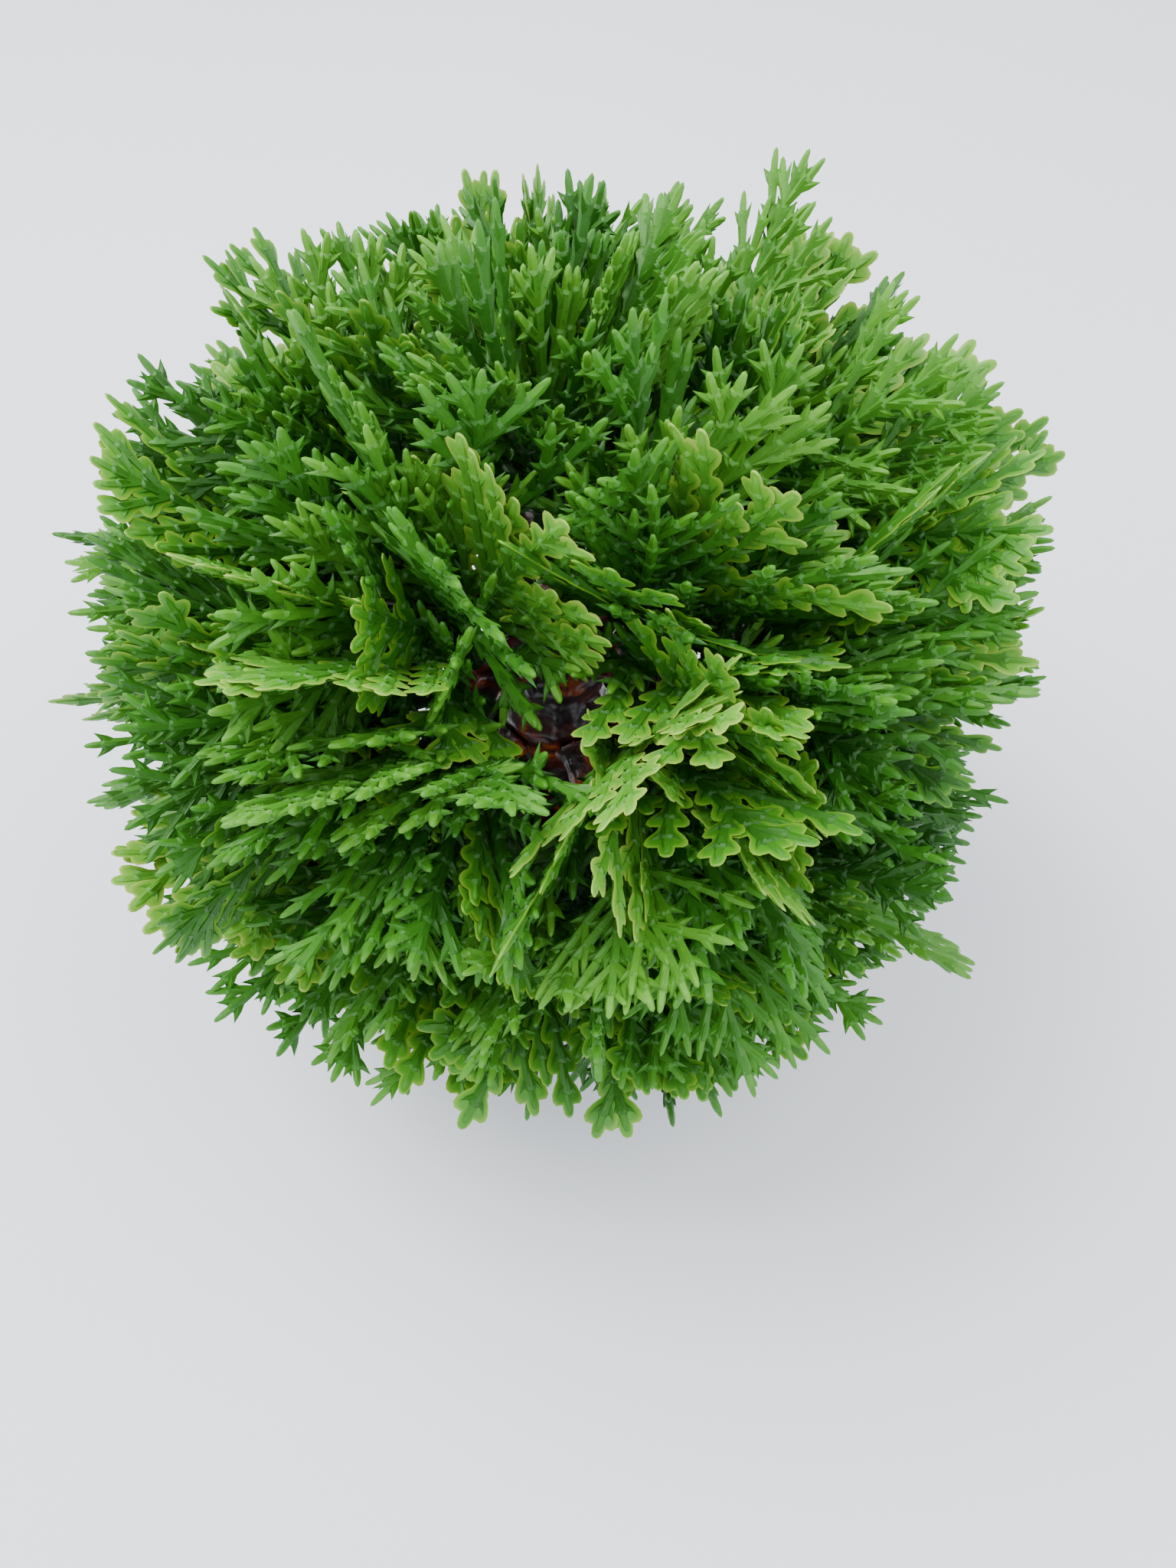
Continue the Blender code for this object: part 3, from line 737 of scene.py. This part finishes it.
def bark_mesh(node, voxel, pegs):
    """A branch's or the trunk's CAD shape, remeshed finely and roughened as bark away from its fits."""
    base = frame["nodes"][node].data.copy()
    shape = bmesh.new()
    shape.from_mesh(base)
    bmesh.ops.remove_doubles(shape, verts=shape.verts, dist=1e-6)
    shape.to_mesh(base)
    shape.free()
    source = helper(base)
    remesh = source.modifiers.new("fine", "REMESH")
    remesh.mode = "VOXEL"
    remesh.voxel_size = voxel
    smooth = source.modifiers.new("soft", "SMOOTH")
    smooth.factor = 0.5
    smooth.iterations = 3
    mesh = evaluated_mesh(source, f"bark_{node}")
    bpy.data.objects.remove(source)
    places = np.empty(len(mesh.vertices) * 3, np.float32)
    normals = places.copy()
    mesh.vertices.foreach_get("co", places)
    mesh.vertex_normals.foreach_get("vector", normals)
    places, normals = places.reshape(-1, 3), normals.reshape(-1, 3)
    clear = np.ones(len(places))
    for end, axis, near, far in pegs:
        from_end = places - np.array(end)
        depth = from_end @ np.array(axis)
        off = np.linalg.norm(from_end - depth[:, None] * np.array(axis), axis=1)
        inside = (depth > -BARK_FADE) & (depth < far)
        clear = np.where(inside, np.minimum(clear, np.clip((off - near) / BARK_FADE, 0, 1)), clear)
    relief = np.array([bark_relief(Vector(place)) for place in places])
    mesh.vertices.foreach_set("co", (places + normals * (relief * clear)[:, None]).ravel())
    mesh.update()
    mesh.shade_smooth()
    return mesh


def build_bark(bark):
    """The bark of the trunk and the eleven branches."""
    limbs = []
    for joint in frame["joints"]:
        node = next(n for n in frame["nodes"] if n.endswith("_branch") and body_of(n) == joint["child"])
        limbs.append((node, Vector(joint["axis"]).normalized()))
    sockets = [(peg_end(node, axis), axis, SOCKET_CLEAR_RADIUS, SOCKET_CLEAR_DEPTH) for node, axis in limbs]
    mesh = bark_mesh("trunk", TRUNK_VOXEL, sockets)
    place_piece("bark_trunk", with_finish(mesh, bark), "trunk")
    for (node, axis), (end, _, _, _) in zip(limbs, sockets):
        picks = [n for n in frame["nodes"] if n.startswith(node.replace("branch", "foliage"))]
        fits = [(end, axis, PEG_CLEAR_RADIUS, PEG_LENGTH + PEG_SHOULDER)]
        for pick in picks:
            mouth, way = pick_axis(pick)
            fits.append((mouth - way * PICK_CLEAR_START, way, PICK_CLEAR_RADIUS, PICK_CLEAR_DEPTH))
        mesh = bark_mesh(node, BRANCH_VOXEL, fits)
        place_piece(f"bark_{node}", with_finish(mesh, bark), node)


def rounded(corners, radius):
    """A closed outline of (radius, height) corners with each corner made an arc."""
    outline = []
    for index, corner in enumerate(corners):
        here = Vector(corner)
        before = Vector(corners[index - 1]) - here
        after = Vector(corners[(index + 1) % len(corners)]) - here
        reach = min(radius, before.length * 0.45, after.length * 0.45)
        start = here + before.normalized() * reach
        end = here + after.normalized() * reach
        for step in range(CORNER_STEPS + 1):
            share = step / CORNER_STEPS
            outline.append(start * (1 - share) ** 2 + here * (2 * share * (1 - share)) + end * share ** 2)
    return outline


def turned(name, outline, sides, wobble=None, solid=False):
    """An outline turned about +Z: a closed one makes a ring, and an open one a solid on the axis."""
    shape = bmesh.new()
    rows = []
    for side in range(sides):
        turn = math.tau * side / sides
        places = [Vector((out * math.cos(turn), out * math.sin(turn), height)) for out, height in outline]
        rows.append([shape.verts.new(place + wobble(place) if wobble else place) for place in places])
    poles = [shape.verts.new((0.0, 0.0, outline[end][1])) for end in (0, -1)] if solid else []
    for side in range(sides):
        row, beside = rows[side], rows[(side + 1) % sides]
        for index in range(len(outline) - 1 if solid else len(outline)):
            following = (index + 1) % len(outline)
            shape.faces.new([row[index], beside[index], beside[following], row[following]])
        for pole, end in zip(poles, (0, -1)):
            shape.faces.new([pole, row[end], beside[end]])
    bmesh.ops.recalc_face_normals(shape, faces=shape.faces)
    mesh = bpy.data.meshes.new(name)
    shape.to_mesh(mesh)
    shape.free()
    mesh.shade_smooth()
    return mesh


def with_finish(mesh, finish):
    """The mesh, with its one material slot given this finish."""
    mesh.materials.clear()
    mesh.materials.append(finish)
    return mesh


def build_pot(plastic):
    """The tapered pot with soft edges, a band round its rim and a hollow inside."""
    bottom, rim = POT_BOX[0][2], POT_BOX[1][2]
    slope = (POT_RIM_RADIUS - POT_FOOT_RADIUS) / (rim - bottom)
    band_bottom = rim - RIM_BAND_HEIGHT
    band = POT_RIM_RADIUS + RIM_BAND_PROUD
    inside = POT_RIM_RADIUS - POT_WALL
    floor_top = bottom + POT_FLOOR
    walls = [
        (POT_FOOT_RADIUS, bottom),
        (POT_FOOT_RADIUS + slope * (band_bottom - bottom), band_bottom),
        (band, band_bottom + RIM_BAND_PROUD),
        (band, rim),
        (inside, rim),
        (inside - slope * (rim - floor_top), floor_top),
    ]
    soft = rounded([(0.0, bottom), *walls, (0.0, floor_top)], POT_ROUNDING)
    mesh = turned("pot_shell", soft[CORNER_STEPS + 1:-CORNER_STEPS - 1], POT_SIDES, solid=True)
    place_piece("pot_shell", with_finish(mesh, plastic), "pot")


def build_pad(felt):
    """The felt pad: a disc with a soft edge and an uneven pressed surface."""
    low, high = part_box("base_pad")
    corners = [(0.0, low[2]), (high[0], low[2]), (high[0], high[2]), (0.0, high[2])]
    soft = rounded(corners, FELT_ROUNDING)[CORNER_STEPS + 1:-CORNER_STEPS - 1]
    under = [(high[0] * ring / FELT_RINGS, low[2]) for ring in range(1, FELT_RINGS)]

    def pressed(place):
        lift = abs(noise.noise(place / (2.5 * MM))) * FELT_NAP
        return Vector((0.0, 0.0, lift if place.z < 0.5 * high[2] else 0.0))

    mesh = turned("felt_disc", under + soft, BED_SIDES, pressed, solid=True)
    place_piece("felt_disc", with_finish(mesh, felt), "base_pad")


def tuft_shape():
    """A tuft of moss: five bent pointed leaves that lean out from one root."""
    leaves = []
    for leaf in range(TUFT_LEAVES):
        turn = Matrix.Rotation(math.tau * leaf / TUFT_LEAVES + 0.4 * leaf, 3, "Z")
        lean = 0.25 + 0.16 * (leaf % 3)
        rings = []
        for rise, out, half in ((0.0, 0.0, 0.13), (0.5, 0.5 * lean, 0.16)):
            corners = [(out - half, -half, rise), (out + half, 0.0, rise), (out - half, half, rise)]
            rings.append([turn @ Vector(corner) for corner in corners])
        leaves.append(rings + [[turn @ Vector((1.6 * lean, 0.0, 1.0))]])
    return closed_mesh("tuft", leaves)


def moss_tree(tuft, finish):
    """Geometry Nodes that stand tufts of moss at random on a bed and join them to it."""
    tree = bpy.data.node_groups.new("moss_bed", "GeometryNodeTree")
    tree.interface.new_socket("Bed", in_out="INPUT", socket_type="NodeSocketGeometry")
    for name, kind in (("Density", "Float"), ("Tuft Height", "Float"), ("Seed", "Int")):
        tree.interface.new_socket(name, in_out="INPUT", socket_type=f"NodeSocket{kind}")
    tree.interface.new_socket("Moss", in_out="OUTPUT", socket_type="NodeSocketGeometry")
    given = add(tree, "NodeGroupInput").outputs
    facing = add(tree, "GeometryNodeInputNormal")
    upward = add(tree, "ShaderNodeSeparateXYZ", {0: facing.outputs[0]})
    top = add(tree, "FunctionNodeCompare", {0: upward.outputs[2], 1: 0.5}, operation="GREATER_THAN")
    scatter = {"Mesh": given["Bed"], "Selection": top.outputs[0]}
    scatter |= {"Density": given["Density"], "Seed": given["Seed"]}
    points = add(tree, "GeometryNodeDistributePointsOnFaces", scatter)
    turns = {0: (-TUFT_TILT, -TUFT_TILT, 0.0), 1: (TUFT_TILT, TUFT_TILT, math.tau), "Seed": given["Seed"]}
    spin = add(tree, "FunctionNodeRandomValue", turns, data_type="FLOAT_VECTOR")
    sizes = {2: TUFT_SIZES[0], 3: TUFT_SIZES[1], "Seed": given["Seed"]}
    grow = add(tree, "FunctionNodeRandomValue", sizes, data_type="FLOAT")
    height = add(tree, "ShaderNodeMath", {0: grow.outputs[1], 1: given["Tuft Height"]}, operation="MULTIPLY")
    mesh = add(tree, "GeometryNodeObjectInfo", {"Object": tuft}).outputs["Geometry"]
    stand = {"Points": points.outputs["Points"], "Instance": mesh}
    stand |= {"Rotation": spin.outputs[0], "Scale": height.outputs[0]}
    tufts = add(tree, "GeometryNodeInstanceOnPoints", stand)
    joined = add(tree, "GeometryNodeJoinGeometry", {0: tufts.outputs[0]})
    feed(tree, joined, {0: given["Bed"]})
    real = add(tree, "GeometryNodeRealizeInstances", {"Geometry": joined.outputs[0]})
    dressed = add(tree, "GeometryNodeSetMaterial", {"Geometry": real.outputs[0], "Material": finish})
    add(tree, "NodeGroupOutput", {"Moss": dressed.outputs[0]})
    return tree


def build_moss(finish):
    """A bed of moss from the pot's wall to the trunk's root flare, with 6 mm and 2.4 mm lumps and tufts."""
    low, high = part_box("moss_layer")
    points = np.array([vertex.co for vertex in frame["nodes"]["moss_layer"].data.vertices])
    hole = np.linalg.norm(points[:, :2], axis=1).min() + BED_GAP
    edge = high[0] - BED_GAP
    top = high[2] - 2.5 * MM
    crown = [(hole + (edge - hole) * row / BED_ROWS, top) for row in range(BED_ROWS, -1, -1)]
    outline = [(hole, low[2] + 0.2 * MM), (edge, low[2] + 0.2 * MM), *crown]

    def lumpy(place):
        out = math.hypot(place.x, place.y)
        middle = math.sin(math.pi * (out - hole) / (edge - hole))
        lump = noise.noise(place / (6 * MM)) * 0.9 + noise.noise(place / (2.4 * MM)) * 0.35
        return Vector((0.0, 0.0, (lump + BED_CROWN * middle) * MM if place.z > low[2] + 1 * MM else 0.0))

    tuft = helper(tuft_shape())
    source = helper(turned("moss_base", outline, BED_SIDES, lumpy))
    sizes = {"Density": float(MOSS_TUFTS_PER_M2), "Tuft Height": MOSS_TUFT_HEIGHT, "Seed": SEED}
    grow_from(source, moss_tree(tuft, finish), sizes)
    mesh = evaluated_mesh(source, "moss_bed")
    for used in (source, tuft):
        bpy.data.objects.remove(used)
    place_piece("moss_bed", mesh, "moss_layer")


def build_stage():
    """A plain pale floor, soft light from above and the left, and the camera high in front."""
    floor_mesh = bpy.data.meshes.new("floor")
    half = FLOOR_HALF_SIDE
    corners = [(-half, -half, 0), (half, -half, 0), (half, half, 0), (-half, half, 0)]
    floor_mesh.from_pydata(corners, [], [(0, 1, 2, 3)])
    floor = bpy.data.objects.new("floor", floor_mesh)
    bpy.context.scene.collection.objects.link(floor)
    finish, tree, shader = new_material("pale_floor")
    pales = [(0.3, "#F1F5FB"), (0.7, "#F5F8FD")]
    colour = add(tree, "ShaderNodeValToRGB", {"Fac": grain(tree, 300.0)}, pales).outputs["Color"]
    feed(tree, shader, {"Base Color": colour, "Roughness": 0.8})
    floor_mesh.materials.append(finish)
    world = bpy.data.worlds.new("soft_sky")
    world.use_nodes = True
    sky = world.node_tree.nodes["Background"]
    feed(world.node_tree, sky, {"Color": linear("#F1F4FA"), "Strength": 1.6})
    bpy.context.scene.world = world
    for name, place, power in LIGHTS:
        light = bpy.data.lights.new(name, "AREA")
        light.size = LIGHT_SIDE
        light.energy = power
        shown = bpy.data.objects.new(name, light)
        facing = (Vector(place) - CROWN_CENTRE).to_track_quat("Z", "Y").to_matrix().to_4x4()
        shown.matrix_world = Matrix.Translation(place) @ facing
        bpy.context.scene.collection.objects.link(shown)
    camera = bpy.data.cameras.new("camera")
    camera.lens = CAMERA_LENS_MM
    camera.sensor_width = CAMERA_SENSOR_MM
    camera.clip_start = 0.01
    shown = bpy.data.objects.new("camera", camera)
    place = CROWN_CENTRE + CAMERA_OFFSET
    tilt = Matrix.Rotation(CAMERA_TILT, 4, "X") @ Matrix.Rotation(CAMERA_ROLL, 4, "Z")
    shown.matrix_world = Matrix.Translation(place) @ tilt
    bpy.context.scene.collection.objects.link(shown)
    bpy.context.scene.camera = shown


build_stage()
build_foliage(moulded_leaf(), moulding_flash())
build_bark(moulded_bark())
build_pot(pot_plastic())
build_pad(felt_fibre())
build_moss(moss_fibre())
with_finish(frame["nodes"]["weighted_filler"].data, cast_plaster())
with_finish(frame["nodes"]["trunk_core_wire"].data, drawn_steel())

bpy.context.view_layer.update()
